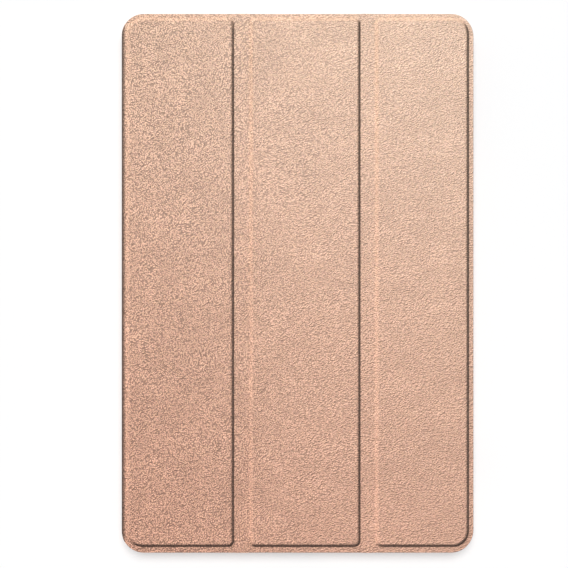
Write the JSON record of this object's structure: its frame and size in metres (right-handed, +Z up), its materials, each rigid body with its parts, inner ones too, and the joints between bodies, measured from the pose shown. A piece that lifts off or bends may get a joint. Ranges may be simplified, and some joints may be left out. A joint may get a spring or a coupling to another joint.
{
  "type": "tablet computer in a folio case",
  "caption": "Flat rectangular tablet computer closed inside a leather folio case: hard back shell, hinged spine and a front cover of raised panels that fold into a stand.",
  "frame": {"origin": "on the table, under the middle of the closed case's outline", "axes": "+Z up out of the front of the cover as the case lies on its back, +Y along the long side to the tablet's head, +X away from the spine"},
  "size_m": [0.1644, 0.2516, 0.0122],
  "materials": {
    "cover_leather": "fine-grained artificial leather with a rose-gold metallic sheen",
    "cover_lining": "short brushed microfibre",
    "stiffener": "pressed fibre board",
    "shell_plastic": "fine matt moulded plastic, matched to the leather",
    "housing_metal": "bead-blasted and anodised",
    "front_glass": "polished, with a black printed border",
    "lens_glass": "polished",
    "display": "dark, switched off",
    "steel": "satin",
    "circuit_board": "green solder mask",
    "battery_pouch": "matt laminated foil",
    "flex_film": "amber film",
    "black_plastic": "matt"
  },
  "bodies": {
    "tablet": {"back_leather": "cover_leather", "back_shell": "shell_plastic", "backlight_unit": "steel", "battery_board": "circuit_board", "battery_cell_left": "battery_pouch", "battery_cell_right": "battery_pouch", "board_flex": "flex_film", "board_screw_1": "steel", "board_screw_2": "steel", "board_screw_3": "steel", "board_screw_4": "steel", "camera_lens": "lens_glass", "camera_ring": "housing_metal", "card_socket": "steel", "cover_glass": "front_glass", "cpu_shield": "steel", "display_adhesive": "black_plastic", "front_camera": "black_plastic", "hall_sensor": "black_plastic", "key_flex": "flex_film", "lcd_cell": "display", "main_board": "circuit_board", "microphone": "steel", "mid_plate": "housing_metal", "power_switch": "steel", "radio_shield": "steel", "rear_camera": "black_plastic", "speaker_foot_1": "black_plastic", "speaker_foot_2": "black_plastic", "speaker_head_1": "black_plastic", "speaker_head_2": "black_plastic", "spine_foot_fold": "cover_leather", "tablet_housing": "housing_metal", "usb_board": "circuit_board", "usb_receptacle": "steel", "volume_down_switch": "steel", "volume_up_switch": "steel", "wifi_antenna": "flex_film"},
    "spine": {"spine_leather": "cover_leather", "spine_board": "stiffener", "spine_lining": "cover_lining", "spine_top_fold": "cover_leather"},
    "panel_1": {"panel_1_leather": "cover_leather", "panel_1_board": "stiffener", "panel_1_lining": "cover_lining", "stand_plate": "steel", "fold_1_channel": "cover_leather"},
    "panel_2": {"panel_2_leather": "cover_leather", "panel_2_board": "stiffener", "panel_2_lining": "cover_lining", "fold_2_channel": "cover_leather"},
    "panel_3": {"panel_3_leather": "cover_leather", "panel_3_board": "stiffener", "panel_3_lining": "cover_lining", "closure_magnet": "steel", "wake_magnet": "steel"},
    "power_key": {"power_key": "housing_metal"},
    "volume_key": {"volume_key": "housing_metal"},
    "card_tray": {"card_tray": "housing_metal", "memory_card": "black_plastic"}
  },
  "joints": [
    {"name": "spine_hinge", "type": "hinge", "parent": "tablet", "child": "spine", "pos_m": [-0.08148, 0, 0.0007], "axis": [0, -1, 0], "range_deg": [0, 83], "deforming": ["spine_foot_fold"]},
    {"name": "cover_hinge", "type": "hinge", "parent": "spine", "child": "panel_1", "pos_m": [-0.08148, 0, 0.01045], "axis": [0, -1, 0], "range_deg": [0, 97], "deforming": ["spine_top_fold"]},
    {"name": "fold_1", "type": "hinge", "parent": "panel_1", "child": "panel_2", "pos_m": [-0.02586, 0, 0.0105], "axis": [0, 1, 0], "range_deg": [-127, 0], "deforming": ["fold_1_channel"]},
    {"name": "fold_2", "type": "hinge", "parent": "panel_2", "child": "panel_3", "pos_m": [0.03293, 0, 0.0105], "axis": [0, 1, 0], "range_deg": [-119, 0], "deforming": ["fold_2_channel"]},
    {"name": "power_press", "type": "slide", "parent": "tablet", "child": "power_key", "axis": [-1, 0, 0], "range_m": [0, 0.00025], "stiffness_N_per_m": 800, "springref_m": -0.001},
    {"name": "volume_rock", "type": "hinge", "parent": "tablet", "child": "volume_key", "pos_m": [0.07915, 0.074, 0.0058], "axis": [0, 0, 1], "range_deg": [-1.8, 1.8], "stiffness_Nm_per_rad": 0.4},
    {"name": "tray_slide", "type": "slide", "parent": "tablet", "child": "card_tray", "axis": [1, 0, 0], "range_m": [0, 0.02]}
  ]
}
